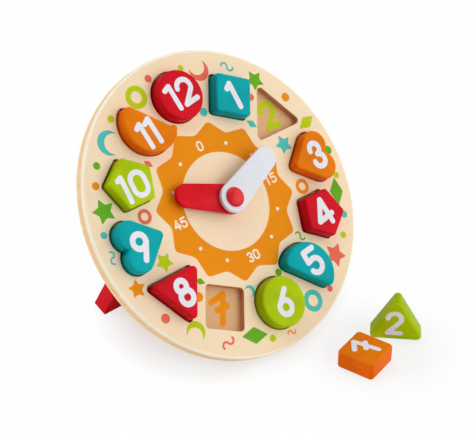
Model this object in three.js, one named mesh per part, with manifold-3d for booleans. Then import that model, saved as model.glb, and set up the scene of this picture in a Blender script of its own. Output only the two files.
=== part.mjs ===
import * as THREE from 'three';
import { mergeVertices } from 'three/addons/utils/BufferGeometryUtils.js';
import Module from 'manifold-3d';

// A wooden clock puzzle. A round board leans back on a fold-out stand, twelve numbered
// blocks fit recesses of their own shape, and two hands turn on one peg at the middle.
// Two of the blocks lie loose in front of the board, as they do in play.
// Units are millimetres and degrees. +Z is up, the dial faces -Y and 3 o'clock is at +X.

// Driving dimensions of the board, which is two plates glued face to face. Its size follows
// from the blocks: a ring wide enough for them all, and a margin outside the round ones.
const blockSpacing = 3.4;
const rimMargin = 16.8;
const faceThickness = 6.5;
const backThickness = 5.2;
const rimRounding = 2.2;
const boardLean = 40;

// Clearances.
const seatGap = 0.3;
const boreFit = 0.3;
const recessFit = 0.6;
const cutOverrun = 1;

// Blocks: one thickness, and a small chamfer round both faces.
const blockThickness = 18;
const blockChamfer = 1.5;

// Each kind of block has a size, a corner radius and, where its middle isn't on the ring
// and at the hour, an inset from the ring and a shift from the hour.
const circleRadius = 23.6;
const circleClockShift = -0.6;
const squareSide = 37.5;
const squareCorner = 4;
const squareInset = 4.6;
const squareClockShift = 1.5;
const triangleSide = 53;
const triangleCorner = 4;
const pentagonRadius = 24.5;
const pentagonCorner = 3.5;
const pentagonInset = 3.6;
const heartWidth = 48.5;
const heartLength = 44;
const heartSpreadShare = 0.81;
const heartTipRadius = 4.5;
const halfDiscRadius = 27.6;
const halfDiscFlat = 5.5;
const halfDiscCorner = 6;
const halfDiscInset = 6;
const halfDiscClockShift = -1;
const halfDiscFacing = 45;

// Hands and the peg that they turn on.
const pegRadius = 4;
const pegCapRadius = 9.3;
const pegCapHeight = 4.2;
const pegTail = 3.6;
const spacerRadius = 8;
const spacerThickness = 4;
const washerRadius = 7.5;
const washerThickness = 0.6;
const retainerRadius = 8;
const retainerThickness = 3;
const handThickness = 4.5;
const handChamfer = 0.8;
const handHubRadius = 14;
const hourHandShorter = 8.5;
const hourTipRadius = 11;
const hourHandClock = 296;
const handEndClearance = 8;
const minuteTipRadius = 11;
const minuteHandClock = 69;

// Stand: one frame with two splayed legs, hinged to the back of the board.
const standOpening = 60;
const standThickness = 15;
const standHingeHeight = 24;
const standFoldGap = 1.3;
const standTopHalfWidth = 64.5;
const standFootHalfWidth = 97;
const standStraight = 16;
const standLegWidth = 38;
const standArchHalfWidth = 38;
const standArchDrop = 12;
const standArchCorner = 14;
const standFootCorner = 3;
const standFootRise = 1.7;

// Hinge: a wooden block each side, a pin through each block, and two screws a block.
const hingeSideGap = 0.8;
const hingeBlockWidth = 18;
const hingeBlockAbove = 11;
const hingeBlockBelow = 14;
const hingeBlockDepth = 17.5;
const hingePinRadius = 4;
const hingePinSeat = 13;
const hingePinReach = 28;
const screwRadius = 1.75;
const screwHeadRadius = 3.5;
const screwHeadHeight = 2;
const screwBite = 3.6;
const screwInset = 4;
const screwDrop = 9.5;

// Where the two loose blocks lie: ahead of the board's lower edge and aside of its middle.
const looseSquareAhead = 55.8;
const looseSquareAside = 31.9;
const looseSquareHeading = 42;
const looseSpacing = 8.6;
const looseBearing = 10.5;
const looseTriangleHeading = -49;

// Smoothness of round stretches: the turn that one step of an arc covers.
const arcStep = 12;
const fineArcStep = 7.5;
const rimSegments = 120;
const rodSegments = 24;
const screwSegments = 16;

const fullTurn = 360;
const hoursOnDial = 12;
const radians = Math.PI / 180;
const sine = (angle) => Math.sin(angle * radians);
const cosine = (angle) => Math.cos(angle * radians);

// How far a regular shape's corners lie from its middle.
function cornerReach(side, sides) {
  return side / 2 / sine(fullTurn / 2 / sides);
}

// How far each kind of block reaches along the ring. The half disc is drawn about its
// disc's centre, which lies off the middle of the block.
const halfDiscMiddle = (halfDiscFlat - halfDiscRadius) / 2;
const halfDiscSkew = halfDiscFacing - fullTurn / 12;
const reaches = {
  circle: circleRadius,
  square: squareSide / 2,
  triangle: triangleSide / 2,
  pentagon: pentagonRadius,
  heart: heartWidth / 2,
  halfDisc: (halfDiscRadius + halfDiscMiddle) * cosine(halfDiscSkew) + halfDiscRadius * sine(halfDiscSkew),
};

// The order of the kinds from 1 o'clock to 6 o'clock, and again from 7 to 12.
const kindOrder = ['square', 'triangle', 'heart', 'pentagon', 'halfDisc', 'circle'];
const widestPair = Math.max(...kindOrder.map((kind, i) => {
  return reaches[kind] + reaches[kindOrder[(i + 1) % kindOrder.length]];
}));

// Sizes that follow from those above. Heights on the board count from its face, outward.
const ringRadius = cornerReach(widestPair + blockSpacing, hoursOnDial);
const boardRadius = ringRadius + circleRadius + rimMargin;
const minuteHandLength = ringRadius - cornerReach(triangleSide, 3) - handEndClearance;
const hourHandLength = minuteHandLength - hourHandShorter;
const backFaceLevel = faceThickness + seatGap;
const boardThickness = backFaceLevel + backThickness;
const hourHandLevel = seatGap + spacerThickness + seatGap;
const washerLevel = hourHandLevel + handThickness + seatGap;
const minuteHandLevel = washerLevel + washerThickness + seatGap;
const pegCapLevel = minuteHandLevel + handThickness + seatGap;
const retainerLevel = boardThickness + seatGap;
const pegBore = pegRadius + boreFit;
const hingeBehind = standThickness / 2 + standFoldGap;
const hingeLevel = boardThickness + hingeBehind;
const standStopRadius = hingeBehind - seatGap;
const hingePinBore = hingePinRadius + boreFit;
const hingeInner = standTopHalfWidth + hingeSideGap;
const hingeMiddle = hingeInner + hingeBlockWidth / 2;
const screwPitch = hingeBlockWidth - 2 * screwInset;
const hingeBlockLevel = boardThickness + seatGap;
const hingeBlockRear = hingeBlockLevel + hingeBlockDepth;
const screwPointLevel = backFaceLevel - screwBite;
const screwHoleRadius = screwRadius + boreFit;

const standLean = standOpening - boardLean;
const boardLift = boardRadius * cosine(boardLean) + boardThickness * sine(boardLean);
const hingeLift = boardLift + standHingeHeight * cosine(boardLean) - hingeLevel * sine(boardLean);
const standLength = (hingeLift - standThickness / 2 * sine(standLean)) / cosine(standLean);

const paint = {
  birch: { color: 0xeed4b2, roughness: 0.6 },
  paleBirch: { color: 0xe6cda4, roughness: 0.65 },
  red: { color: 0xde1626, roughness: 0.35 },
  orange: { color: 0xe88000, roughness: 0.35 },
  lime: { color: 0xaccd00, roughness: 0.35 },
  teal: { color: 0x00a5ac, roughness: 0.35 },
  white: { color: 0xe8e8ee, roughness: 0.35 },
  steel: { color: 0xb9bcc0, roughness: 0.3, metalness: 1 },
};

// Solids: a closed three.js geometry becomes a solid that can be cut, and comes back.
const wasm = await Module();
wasm.setup();

function solidFrom(geometry) {
  const bare = geometry.clone();
  bare.deleteAttribute('normal');
  bare.deleteAttribute('uv');
  const merged = mergeVertices(bare);
  const index = merged.index.array;
  const kept = [];
  for (let i = 0; i < index.length; i += 3) {
    const [a, b, c] = index.slice(i, i + 3);
    if (a !== b && b !== c && c !== a) {
      kept.push(a, b, c);
    }
  }
  const vertProperties = merged.attributes.position.array;
  const triVerts = new Uint32Array(kept);
  return new wasm.Manifold(new wasm.Mesh({ numProp: 3, vertProperties, triVerts }));
}

function geometryFrom(solid) {
  const mesh = solid.getMesh();
  const geometry = new THREE.BufferGeometry();
  geometry.setAttribute('position', new THREE.BufferAttribute(mesh.vertProperties, 3));
  geometry.setIndex(new THREE.BufferAttribute(mesh.triVerts, 1));
  geometry.computeVertexNormals();
  return geometry;
}

function cut(body, tools) {
  return geometryFrom(tools.reduce((left, tool) => left.subtract(solidFrom(tool)), solidFrom(body)));
}

// Outlines: lists of points, anticlockwise, with their round stretches worked out.
function arc(x, y, radius, from, to, step = arcStep) {
  const steps = Math.max(1, Math.round(Math.abs(to - from) / step));
  const points = [];
  for (let i = 0; i <= steps; i += 1) {
    const angle = from + (to - from) * i / steps;
    points.push(new THREE.Vector2(x + radius * cosine(angle), y + radius * sine(angle)));
  }
  return points;
}

function circle(radius, step = fineArcStep) {
  return arc(0, 0, radius, 0, fullTurn, step).slice(1);
}

// A path through corners given as [x, y, radius], each rounded by its radius.
function roundedPath(corners) {
  const count = corners.length;
  return corners.flatMap(([x, y, radius], i) => {
    const corner = new THREE.Vector2(x, y);
    if (radius === 0) {
      return [corner];
    }
    const [before, after] = [corners[(i + count - 1) % count], corners[(i + 1) % count]];
    const back = new THREE.Vector2(before[0], before[1]).sub(corner).normalize();
    const ahead = new THREE.Vector2(after[0], after[1]).sub(corner).normalize();
    const half = Math.acos(back.dot(ahead)) / 2;
    const middle = back.clone().add(ahead).normalize().multiplyScalar(radius / Math.sin(half));
    const centre = corner.clone().add(middle);
    const start = corner.clone().addScaledVector(back, radius / Math.tan(half)).sub(centre);
    const end = corner.clone().addScaledVector(ahead, radius / Math.tan(half)).sub(centre);
    const sweep = Math.atan2(start.cross(end), start.dot(end)) / radians;
    const first = start.angle() / radians;
    return arc(centre.x, centre.y, radius, first, first + sweep);
  });
}

function regularPolygon(sides, radius, corner, grow) {
  const reach = radius + grow / cosine(fullTurn / 2 / sides);
  const corners = [];
  for (let i = 0; i < sides; i += 1) {
    const angle = fullTurn / 4 + i * fullTurn / sides;
    corners.push([reach * cosine(angle), reach * sine(angle), corner + grow]);
  }
  return roundedPath(corners);
}

// Drawn about the middle of the block, with its flat side up.
function halfDiscOutline(grow) {
  const height = halfDiscFlat - halfDiscCorner;
  const aside = Math.sqrt((halfDiscRadius - halfDiscCorner) ** 2 - height ** 2);
  const lean = Math.atan2(height, aside) / radians;
  const [radius, corner] = [halfDiscRadius + grow, halfDiscCorner + grow];
  const lift = -halfDiscMiddle;
  return [
    ...arc(aside, lift + height, corner, lean, fullTurn / 4),
    ...arc(-aside, lift + height, corner, fullTurn / 4, fullTurn / 2 - lean),
    ...arc(0, lift, radius, fullTurn / 2 - lean, fullTurn + lean, fineArcStep).slice(1, -1),
  ];
}

// The middles of the lobes stand aside by a share of their radius, so the lobes meet.
function heartOutline(grow) {
  const heartLobeRadius = heartWidth / 2 / (1 + heartSpreadShare);
  const aside = heartLobeRadius * heartSpreadShare;
  const lobeHeight = heartLength / 2 - heartLobeRadius;
  const tipHeight = heartTipRadius - heartLength / 2;
  const rise = lobeHeight - tipHeight;
  const tilt = Math.acos((heartTipRadius - heartLobeRadius) / Math.hypot(aside, rise)) / radians;
  const flank = Math.atan2(rise, aside) / radians - tilt;
  const [lobe, tip] = [heartLobeRadius + grow, heartTipRadius + grow];
  const notch = Math.acos(-aside / lobe) / radians;
  return [
    ...arc(0, tipHeight, tip, fullTurn / 2 - flank, fullTurn + flank),
    ...arc(aside, lobeHeight, lobe, flank, notch),
    ...arc(-aside, lobeHeight, lobe, fullTurn / 2 - notch, fullTurn / 2 - flank).slice(1),
  ];
}

// A tapered bar with round ends: the big end on the origin, the small end up +Y.
function handOutline(length, tipRadius) {
  const tipCentre = length - tipRadius;
  const flank = Math.asin((handHubRadius - tipRadius) / tipCentre) / radians;
  return [
    ...arc(0, 0, handHubRadius, fullTurn / 2 - flank, fullTurn + flank),
    ...arc(0, tipCentre, tipRadius, flank, fullTurn / 2 - flank),
  ];
}

function prism(outline, from, to, chamfer = 0) {
  const geometry = new THREE.ExtrudeGeometry(new THREE.Shape(outline), {
    depth: to - from - 2 * chamfer,
    bevelEnabled: chamfer > 0,
    bevelThickness: chamfer,
    bevelSize: chamfer,
    bevelOffset: -chamfer,
    bevelSegments: 1,
  });
  return geometry.translate(0, 0, from + chamfer);
}

// A cylinder along Z, moved aside to x and y.
function rod(radius, from, to, x = 0, y = 0, segments = rodSegments) {
  const geometry = new THREE.CylinderGeometry(radius, radius, to - from, segments);
  return geometry.rotateX(Math.PI / 2).translate(x, y, (from + to) / 2);
}

// A turned solid round Z, from [radius, height] pairs that start and end on the axis.
function turned(profile, segments) {
  const points = profile.map(([radius, height]) => new THREE.Vector2(radius, height));
  return geometryFrom(solidFrom(new THREE.LatheGeometry(points, segments).rotateX(Math.PI / 2)));
}

// Blocks. A kind has an outline, a distance of its middle from the hub and two turns:
// the block's own turn on the dial, and the shift of its place from the hour mark.
const kinds = {
  circle: {
    outline: (grow) => circle(circleRadius + grow),
    ring: ringRadius,
    turn: () => 0,
    shift: circleClockShift,
  },
  square: {
    outline: (grow) => regularPolygon(4, cornerReach(squareSide, 4), squareCorner, grow),
    ring: ringRadius - squareInset,
    turn: (hour) => fullTurn / 8 - hour * fullTurn / hoursOnDial,
    shift: squareClockShift,
  },
  triangle: {
    outline: (grow) => regularPolygon(3, cornerReach(triangleSide, 3), triangleCorner, grow),
    ring: ringRadius,
    turn: (hour) => (hour === 2 ? 0 : fullTurn / 2),
  },
  pentagon: {
    outline: (grow) => regularPolygon(5, pentagonRadius, pentagonCorner, grow),
    ring: ringRadius - pentagonInset,
    turn: (hour) => (hour === 10 ? 0 : fullTurn / 2),
  },
  heart: {
    outline: heartOutline,
    ring: ringRadius,
    turn: (hour) => -hour * fullTurn / hoursOnDial,
  },
  halfDisc: {
    outline: halfDiscOutline,
    ring: ringRadius - halfDiscInset,
    turn: (hour) => (hour === 11 ? 0 : fullTurn / 2) - halfDiscFacing,
    shift: halfDiscClockShift,
  },
};

// The colours run on in turn round the dial.
const colourOrder = [paint.teal, paint.lime, paint.orange, paint.red];
const blocks = [];
for (let i = 0; i < hoursOnDial; i += 1) {
  const kind = kinds[kindOrder[i % kindOrder.length]];
  blocks.push({ hour: i + 1, kind, colour: colourOrder[i % colourOrder.length] });
}

function outlineOf({ hour, kind }, grow) {
  const angle = kind.turn(hour) * radians;
  const origin = new THREE.Vector2(0, 0);
  return kind.outline(grow).map((point) => point.rotateAround(origin, angle));
}

function placeOf({ hour, kind }) {
  const clock = hour * fullTurn / hoursOnDial + (kind.shift ?? 0);
  return new THREE.Vector2(kind.ring * sine(clock), kind.ring * cosine(clock));
}

// Adds a mesh to a group under its name.
function add(group, name, geometry, look) {
  const mesh = new THREE.Mesh(geometry, new THREE.MeshStandardMaterial(look));
  mesh.name = name;
  group.add(mesh);
  return mesh;
}

// Middles of the four hinge screws on the back of the board, left pair first.
function screwPlaces() {
  const places = [];
  for (const side of [-1, 1]) {
    for (const step of [-1, 1]) {
      places.push([side * hingeMiddle + step * screwPitch / 2, standHingeHeight - screwDrop]);
    }
  }
  return places;
}

function screwHoles(from, to) {
  return screwPlaces().map(([x, y]) => rod(screwHoleRadius, from, to, x, y, screwSegments));
}

// The front plate: rounded at the front of its rim, with a recess cut through for each block.
function frontBoard() {
  const rim = arc(boardRadius - rimRounding, -rimRounding, rimRounding, 0, fullTurn / 4, fullTurn / 12);
  const profile = [
    [0, -faceThickness],
    [boardRadius, -faceThickness],
    ...rim.map((point) => [point.x, point.y]),
    [0, 0],
  ];
  const recesses = blocks.map((block) => {
    const place = placeOf(block);
    const tool = prism(outlineOf(block, recessFit), -faceThickness - cutOverrun, cutOverrun);
    return tool.translate(place.x, place.y, 0);
  });
  const pegHole = rod(pegBore, -faceThickness - cutOverrun, cutOverrun);
  const holes = screwHoles(-faceThickness - cutOverrun, -screwPointLevel + seatGap);
  return cut(turned(profile, rimSegments), [...recesses, pegHole, ...holes]);
}

function backBoard() {
  const disc = rod(boardRadius, -boardThickness, -backFaceLevel, 0, 0, rimSegments);
  const [from, to] = [-boardThickness - cutOverrun, -backFaceLevel + cutOverrun];
  return cut(disc, [rod(pegBore, from, to), ...screwHoles(from, to)]);
}

function ring(radius, from, to) {
  return cut(rod(radius, from, to), [rod(pegBore, from - cutOverrun, to + cutOverrun)]);
}

function hand(length, tipRadius, level, clock) {
  const bar = prism(handOutline(length, tipRadius), level, level + handThickness, handChamfer);
  const bore = rod(pegBore, level - cutOverrun, level + handThickness + cutOverrun);
  return cut(bar, [bore]).rotateZ(-clock * radians);
}

// The peg: a domed cap over the hands, and a shank that runs out at the back.
function peg() {
  const dome = arc(0, 0, 1, 0, fullTurn / 4, fullTurn / 24);
  const profile = [
    [0, -retainerLevel - pegTail],
    [pegRadius, -retainerLevel - pegTail],
    [pegRadius, pegCapLevel],
    ...dome.map((point) => [point.x * pegCapRadius, pegCapLevel + point.y * pegCapHeight]),
  ];
  return turned(profile, rodSegments);
}

// The stand seen square on: a cross rail above, two splayed legs and an arch between them.
function standOutline(top) {
  const innerFoot = standFootHalfWidth - standLegWidth;
  const half = [
    [innerFoot, -standLength, standFootCorner],
    [standFootHalfWidth, -standLength, standFootCorner],
    [standTopHalfWidth, -standStraight, standFootCorner],
    [standTopHalfWidth, top, 0],
  ];
  const mirrored = half.map(([x, y, radius]) => [-x, y, radius]).reverse();
  const arch = [
    [-standArchHalfWidth, -standArchDrop, standArchCorner],
    [standArchHalfWidth, -standArchDrop, standArchCorner],
  ];
  return roundedPath([...half, ...mirrored, ...arch]);
}

// The stand seen from its edge, drawn over Z and Y. The corner above the pin is rounded
// about the pin, so that it turns clear of the board, and ends in the face that stops there.
function standEdge() {
  const half = standThickness / 2;
  const start = Math.acos(half / standStopRadius) / radians;
  const heel = (standStopRadius * cosine(standOpening) + half) / sine(standOpening);
  const top = standStopRadius * sine(standOpening) + heel * cosine(standOpening);
  const corners = [
    new THREE.Vector2(-half, top),
    new THREE.Vector2(-half, -standLength + standFootRise),
    new THREE.Vector2(half, -standLength),
    ...arc(0, 0, standStopRadius, start, standOpening),
  ];
  return { corners, top };
}

function standFrame() {
  const { corners, top } = standEdge();
  const half = standThickness / 2;
  const plate = prism(standOutline(top + cutOverrun), -half - cutOverrun, half + cutOverrun);
  const reach = standFootHalfWidth + cutOverrun;
  const edge = prism(corners, -reach, reach).rotateY(-Math.PI / 2);
  const body = solidFrom(plate).intersect(solidFrom(edge));
  const bores = [-1, 1].map((side) => {
    const from = standTopHalfWidth - hingePinReach;
    const bore = rod(hingePinBore, from, standTopHalfWidth + cutOverrun);
    return bore.rotateY(side * Math.PI / 2);
  });
  return geometryFrom(bores.reduce((left, bore) => left.subtract(solidFrom(bore)), body));
}

// A hinge block on the right or left, with a blind bore for the pin on its inner side.
function hingeBlock(side) {
  const height = hingeBlockAbove + hingeBlockBelow;
  const box = new THREE.BoxGeometry(hingeBlockWidth, height, hingeBlockDepth);
  const middleHeight = standHingeHeight + (hingeBlockAbove - hingeBlockBelow) / 2;
  box.translate(side * hingeMiddle, middleHeight, -hingeBlockLevel - hingeBlockDepth / 2);
  const bore = rod(hingePinBore, hingeInner - cutOverrun, hingeInner + hingePinSeat);
  bore.rotateY(side * Math.PI / 2).translate(0, standHingeHeight, -hingeLevel);
  const holes = screwHoles(-hingeBlockRear - cutOverrun, -hingeBlockLevel + cutOverrun);
  return cut(box, [bore, ...holes]);
}

function hingePin(side) {
  const inner = standTopHalfWidth - hingePinReach + boreFit;
  const outer = hingeInner + hingePinSeat - boreFit;
  const pin = rod(hingePinRadius, inner, outer);
  return pin.rotateY(side * Math.PI / 2).translate(0, standHingeHeight, -hingeLevel);
}

// A screw with its domed head towards the back and its point in the front plate.
function hingeScrew([x, y]) {
  const headLevel = hingeBlockRear + seatGap;
  const dome = arc(0, 0, 1, -fullTurn / 4, 0, fullTurn / 12);
  const profile = [
    ...dome.map((point) => [point.x * screwHeadRadius, -headLevel + point.y * screwHeadHeight]),
    [screwRadius, -headLevel],
    [screwRadius, -screwPointLevel],
    [0, -screwPointLevel],
  ];
  return turned(profile, screwSegments).translate(x, y, 0);
}

// Blocks stand in their recesses, except the two that lie loose.
function addBlocks(board, floor) {
  const looseSquareY = -boardRadius * sine(boardLean) - looseSquareAhead;
  const stride = squareSide / 2 + triangleSide / 2 + looseSpacing;
  for (const block of blocks) {
    const name = `block_${block.hour}`;
    const shape = prism(outlineOf(block, 0), 0, blockThickness, blockChamfer);
    if (block.hour === 7) {
      const loose = add(floor, name, shape, block.colour);
      loose.position.set(looseSquareAside, looseSquareY, 0);
      loose.rotation.z = looseSquareHeading * radians;
    } else if (block.hour === 2) {
      const standing = shape.translate(0, 0, -blockThickness / 2).rotateX(Math.PI / 2);
      const loose = add(floor, name, standing, block.colour);
      const x = looseSquareAside + stride * cosine(looseBearing);
      const y = looseSquareY + stride * sine(looseBearing);
      loose.position.set(x, y, cornerReach(triangleSide, 3) / 2);
      loose.rotation.z = looseTriangleHeading * radians;
    } else {
      const place = placeOf(block);
      add(board, name, shape, block.colour).position.set(place.x, place.y, -faceThickness);
    }
  }
}

function addHands(board) {
  const hourBar = hand(hourHandLength, hourTipRadius, hourHandLevel, hourHandClock);
  const minuteBar = hand(minuteHandLength, minuteTipRadius, minuteHandLevel, minuteHandClock);
  const spacer = ring(spacerRadius, seatGap, seatGap + spacerThickness);
  const washer = ring(washerRadius, washerLevel, washerLevel + washerThickness);
  const retainer = ring(retainerRadius, -retainerLevel - retainerThickness, -retainerLevel);
  add(board, 'hour_hand', hourBar, paint.red);
  add(board, 'minute_hand', minuteBar, paint.white);
  add(board, 'hand_peg', peg(), paint.red);
  add(board, 'hand_spacer', spacer, paint.paleBirch);
  add(board, 'hand_washer', washer, paint.white);
  add(board, 'peg_retainer', retainer, paint.paleBirch);
}

function addStand(board) {
  const frame = add(board, 'stand_frame', standFrame(), paint.red);
  frame.position.set(0, standHingeHeight, -hingeLevel);
  frame.rotation.x = standOpening * radians;
  for (const [name, side] of [['left', -1], ['right', 1]]) {
    add(board, `hinge_block_${name}`, hingeBlock(side), paint.paleBirch);
    add(board, `hinge_pin_${name}`, hingePin(side), paint.paleBirch);
  }
  screwPlaces().forEach((place, i) => {
    add(board, `hinge_screw_${i + 1}`, hingeScrew(place), paint.steel);
  });
}

// The whole: the board's group is turned back about X and lifted until its rim touches
// the ground, and then everything is centred, so the origin lies under the middle.
function clockPuzzle() {
  const whole = new THREE.Group();
  const board = new THREE.Group();
  board.rotation.x = (fullTurn / 4 - boardLean) * radians;
  board.position.z = boardLift;
  add(board, 'front_board', frontBoard(), paint.birch);
  add(board, 'back_board', backBoard(), paint.paleBirch);
  const floor = new THREE.Group();
  addHands(board);
  addStand(board);
  addBlocks(board, floor);
  whole.add(board, floor);
  whole.updateMatrixWorld(true);
  const middle = new THREE.Box3().setFromObject(whole, true).getCenter(new THREE.Vector3());
  whole.position.set(-middle.x, -middle.y, 0);
  return whole;
}

export default clockPuzzle();
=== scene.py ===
# %% [markdown]
# # A wooden clock puzzle
# The toy is a round birch board that leans back on a red stand. Twelve painted blocks fit
# recesses of their own shape, and two hands turn on one peg. The solids come packed from
# the CAD model. This lesson dresses them: each visible piece is modelled again with softer
# edges, or kept and given a better finish, in the same frame and in metres.

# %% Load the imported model
from math import cos, hypot, pi, radians, sin, sqrt

import bmesh
import bpy
from mathutils import Matrix, Vector


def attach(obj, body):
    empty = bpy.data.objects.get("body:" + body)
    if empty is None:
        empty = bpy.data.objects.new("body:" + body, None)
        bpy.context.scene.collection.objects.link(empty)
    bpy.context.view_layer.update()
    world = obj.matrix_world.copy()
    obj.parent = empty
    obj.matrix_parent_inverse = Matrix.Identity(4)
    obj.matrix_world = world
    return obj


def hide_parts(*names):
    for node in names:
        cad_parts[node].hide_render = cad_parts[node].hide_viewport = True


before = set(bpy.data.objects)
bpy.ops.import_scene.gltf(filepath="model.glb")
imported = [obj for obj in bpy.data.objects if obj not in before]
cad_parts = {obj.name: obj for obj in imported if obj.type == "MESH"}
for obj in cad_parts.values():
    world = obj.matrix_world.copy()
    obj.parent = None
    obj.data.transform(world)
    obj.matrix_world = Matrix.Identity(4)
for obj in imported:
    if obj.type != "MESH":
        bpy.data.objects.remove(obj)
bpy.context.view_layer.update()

# %% [markdown]
# The camera comes first, so that each piece can be judged from where the photograph was
# taken. It stands a long way off with a long lens, to the left of the dial and above it.
# The board has a frame of its own: x across, u up its face and w out of its face.

# %% Sizes shared by many pieces, and the board's frame
MM = 0.001
BOARD_LEAN = 40
BOARD_RADIUS = 145.01
FACE_DEPTH = 6.5
BACK_FROM, BACK_TO = -12.0, -6.8
BLOCK_DEPTH = 18
BORE_RADIUS = 4.3
OVERCUT = 1
HAIR = 0.000001
FACE_CENTRE = Vector((0, 34.051, 118.797)) * MM
BOARD_TURN = Matrix.Rotation(radians(90 - BOARD_LEAN), 4, "X")
ON_BOARD = Matrix.Translation(FACE_CENTRE) @ BOARD_TURN


def mm(*lengths):
    return tuple(length * MM for length in lengths)


print("the face's centre is at", [round(v, 4) for v in FACE_CENTRE])

# %% Camera
PHOTO_WIDTH, PHOTO_HEIGHT = 475, 433
FOCAL, AZIMUTH, ELEVATION, DISTANCE = 1400.0, -43.1, 33.3, 1276.0
CENTRE_X, CENTRE_Y = 226.5, 200.95
SENSOR_WIDTH = 36
aim, rise = radians(AZIMUTH), radians(ELEVATION)
back = Vector((sin(aim) * cos(rise), -cos(aim) * cos(rise), sin(rise)))
right = Vector((cos(aim), sin(aim), 0))
up = back.cross(right)
aside = (PHOTO_WIDTH / 2 - CENTRE_X) * DISTANCE / FOCAL
above = (CENTRE_Y - PHOTO_HEIGHT / 2) * DISTANCE / FOCAL
bpy.ops.object.camera_add(
    location=FACE_CENTRE + (back * DISTANCE + right * aside + up * above) * MM,
    rotation=(radians(90 - ELEVATION), 0, radians(AZIMUTH)),
)
camera = bpy.context.object
camera.data.sensor_width = SENSOR_WIDTH
camera.data.lens = FOCAL * SENSOR_WIDTH / PHOTO_WIDTH
camera.data.clip_start, camera.data.clip_end = 0.05, 30
bpy.context.scene.camera = camera
print("lens", round(camera.data.lens, 1), "mm")
print("camera at", [round(v, 3) for v in camera.location], "metres")

# %% [markdown]
# Materials are made of nodes, so they need no picture files. Each starts from Object
# coordinates, which stay with the piece when it moves, and gets its colour changes, gloss
# and relief from noise. Colours are written as they look on a screen, 0 to 255, and turned
# to the linear values that the shader wants.

# %% Helpers for materials
def shade(red, green, blue):
    values = (red / 255, green / 255, blue / 255)
    return (*[v / 12.92 if v < 0.04 else ((v + 0.055) / 1.055) ** 2.4 for v in values], 1)


def new_finish(name):
    material = bpy.data.materials.new(name)
    material.use_nodes = True
    return material, material.node_tree, material.node_tree.nodes["Principled BSDF"]


def add_node(tree, kind, sockets=None, **settings):
    made = tree.nodes.new(kind)
    for key, value in settings.items():
        setattr(made, key, value)
    for key, value in (sockets or {}).items():
        if isinstance(value, bpy.types.NodeSocket):
            tree.links.new(value, made.inputs[key])
        else:
            made.inputs[key].default_value = value
    return made


def placed(tree, turn=(0, 0, 0), scale=(1, 1, 1)):
    where = add_node(tree, "ShaderNodeTexCoord").outputs["Object"]
    sockets = {"Vector": where, "Rotation": [radians(t) for t in turn], "Scale": scale}
    return add_node(tree, "ShaderNodeMapping", sockets).outputs["Vector"]


def noise(tree, vector, scale, detail=3, distortion=0):
    sockets = {"Vector": vector, "Scale": scale, "Detail": detail, "Distortion": distortion}
    return add_node(tree, "ShaderNodeTexNoise", sockets).outputs["Fac"]


def spread(tree, value, low, high, to_low, to_high):
    sockets = {"Value": value, "From Min": low, "From Max": high,
               "To Min": to_low, "To Max": to_high}
    return add_node(tree, "ShaderNodeMapRange", sockets).outputs["Result"]


def blend_colour(tree, factor, first, second):
    sockets = {0: factor, 6: first, 7: second}
    return add_node(tree, "ShaderNodeMix", sockets, data_type="RGBA").outputs[2]


def relief(tree, shader, height, strength, distance):
    sockets = {"Height": height, "Strength": strength, "Distance": distance}
    made = add_node(tree, "ShaderNodeBump", sockets)
    tree.links.new(made.outputs["Normal"], shader.inputs["Normal"])


print("helpers for materials are ready")

# %% [markdown]
# Birch has a fine, straight, quiet grain. It could be drawn with a wave texture, but waves
# look like pine. Here one noise is stretched along the grain for the fibres, a second one
# gives broad pale and rosy clouds, and a third gives the tiny dark flecks that birch shows.
# The face of the board is lacquered, so it is a little glossier than its cut sides. The
# rounded edge between them is given the palest colour, a painted highlight for the light that
# it catches.

# %% Birch finishes
BOARD_GRAIN = (BOARD_LEAN - 90, 0, 0)
ALONG_GRAIN = (9, 300, 300)


def birch(name, pale, deep, flush, stretch=ALONG_GRAIN, gloss=(0.44, 0.5), shine=0.15):
    material, tree, shader = new_finish(name)
    shader.inputs["Specular IOR Level"].default_value = shine
    fibres = noise(tree, placed(tree, BOARD_GRAIN, stretch), 1, detail=5, distortion=0.4)
    clouds = noise(tree, placed(tree, BOARD_GRAIN, (0.5, 1.6, 1.6)), 14, detail=2)
    flecks = noise(tree, placed(tree, BOARD_GRAIN, (60, 700, 700)), 1, detail=1)
    wood = blend_colour(tree, spread(tree, fibres, 0.36, 0.68, 0, 1), shade(*pale), shade(*deep))
    rosy = blend_colour(tree, spread(tree, clouds, 0.42, 0.66, 0, 0.6), wood, shade(*flush))
    fleck = spread(tree, flecks, 0.70, 0.80, 0, 0.16)
    dark = shade(deep[0] * 0.8, deep[1] * 0.72, deep[2] * 0.6)
    colour = blend_colour(tree, fleck, rosy, dark)
    tree.links.new(colour, shader.inputs["Base Color"])
    tree.links.new(spread(tree, fibres, 0.3, 0.7, *gloss), shader.inputs["Roughness"])
    relief(tree, shader, fibres, strength=0.2, distance=0.03 * MM)
    return material


birch_face = birch("birch_face", (250, 226, 190), (248, 223, 186), (251, 223, 194))
# The rounded rim is painted paler than the face: a painted highlight.
birch_edge_painted_highlight = birch("birch_edge_painted_highlight", (255, 247, 226), (253, 242, 216), (255, 245, 228), shine=0.7)
birch_rim = birch("birch_rim", (252, 217, 170), (244, 203, 150), (252, 212, 170),
                  stretch=(40, 40, 500), gloss=(0.5, 0.65))
# Recess walls are brown cut wood, made darker still as painted shade in the gaps round the blocks.
birch_wall_and_shade = birch("birch_wall_and_shade", (216, 152, 102), (192, 126, 78), (214, 144, 102),
                   stretch=(60, 60, 500), gloss=(0.55, 0.7))
birch_floor = birch("birch_floor", (223, 178, 127), (217, 170, 118), (226, 179, 132))
birch_back = birch("birch_back", (232, 206, 166), (216, 184, 138), (232, 200, 162))
birch_part = birch("birch_part", (230, 200, 156), (208, 172, 124), (230, 196, 156),
                   stretch=(240, 240, 20))
print("birch finishes:", [m.name for m in bpy.data.materials if m.name.startswith("birch")])
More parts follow.
